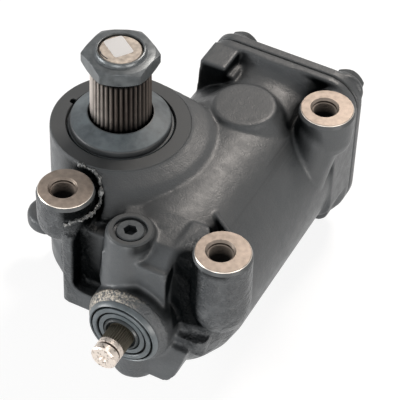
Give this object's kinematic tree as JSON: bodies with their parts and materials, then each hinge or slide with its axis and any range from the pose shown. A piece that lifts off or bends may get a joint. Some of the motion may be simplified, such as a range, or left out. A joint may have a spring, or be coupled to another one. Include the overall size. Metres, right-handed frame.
{
  "type": "power steering gear",
  "caption": "Hydraulic power steering gear of the recirculating ball type, with a serrated output shaft and nut, a serrated input shaft, tapped mounting columns and a bolted end cover.",
  "frame": {"origin": "axis of the output shaft where it crosses the plane of the machined mounting faces", "axes": "+Z along the output shaft, towards its nut; +Y along the piston axis, from the input shaft to the end cover; +X from the output shaft to the piston"},
  "size_m": [0.2463, 0.3231, 0.2518],
  "materials": {
    "charcoal_paint": "satin charcoal paint on a sand casting",
    "ground_steel": "ground steel",
    "dark_steel": "dark phosphated steel",
    "seal_rubber": "matt rubber",
    "gasket": "pressed fibre",
    "bearing_steel": "polished bearing steel",
    "machined_steel": "machined steel",
    "ring_plastic": "filled fluoropolymer"
  },
  "bodies": {
    "housing": {"gear_housing": "charcoal_paint", "end_cover": "charcoal_paint", "end_cover_gasket": "gasket", "end_cover_bolts": "charcoal_paint", "side_cover": "charcoal_paint", "side_cover_gasket": "gasket", "side_cover_bolts": "charcoal_paint", "lash_adjuster": "dark_steel", "lash_adjuster_locknut": "dark_steel", "upper_sector_bearing": "bearing_steel", "lower_sector_bearing": "bearing_steel", "sector_oil_seal": "seal_rubber", "seal_snap_ring": "dark_steel", "sector_dust_seal": "seal_rubber", "screw_plug": "dark_steel", "worm_bearing": "bearing_steel", "input_oil_seal": "seal_rubber", "input_dust_boot": "seal_rubber"},
    "piston": {"rack_piston": "machined_steel", "piston_seal_ring": "ring_plastic", "bearing_balls": "bearing_steel"},
    "sector": {"sector_shaft": "ground_steel", "output_nut": "dark_steel"},
    "worm": {"worm": "machined_steel", "valve_sleeve": "machined_steel"},
    "input": {"input_shaft": "ground_steel", "torsion_bar": "machined_steel"}
  },
  "joints": [
    {"name": "piston_slide", "type": "slide", "parent": "housing", "child": "piston", "axis": [0, 1, 0], "range_m": [-0.0289, 0.0289]},
    {"name": "sector_turn", "type": "hinge", "parent": "housing", "child": "sector", "pos_m": [0, 0, 0], "axis": [0, 0, 1], "range_deg": [-46.1, 46.1]},
    {"name": "worm_turn", "type": "hinge", "parent": "housing", "child": "worm", "pos_m": [0.076, 0, -0.085], "axis": [0, 1, 0], "range_deg": [-744, 744]},
    {"name": "input_twist", "type": "hinge", "parent": "worm", "child": "input", "pos_m": [0.076, 0, -0.085], "axis": [0, 1, 0], "range_deg": [-4, 4], "stiffness_Nm_per_rad": 90}
  ],
  "couplings": [
    {"joint": "sector_turn", "follows": "piston_slide", "rad_per_m": 27.778},
    {"joint": "worm_turn", "follows": "piston_slide", "rad_per_m": -448.8}
  ]
}
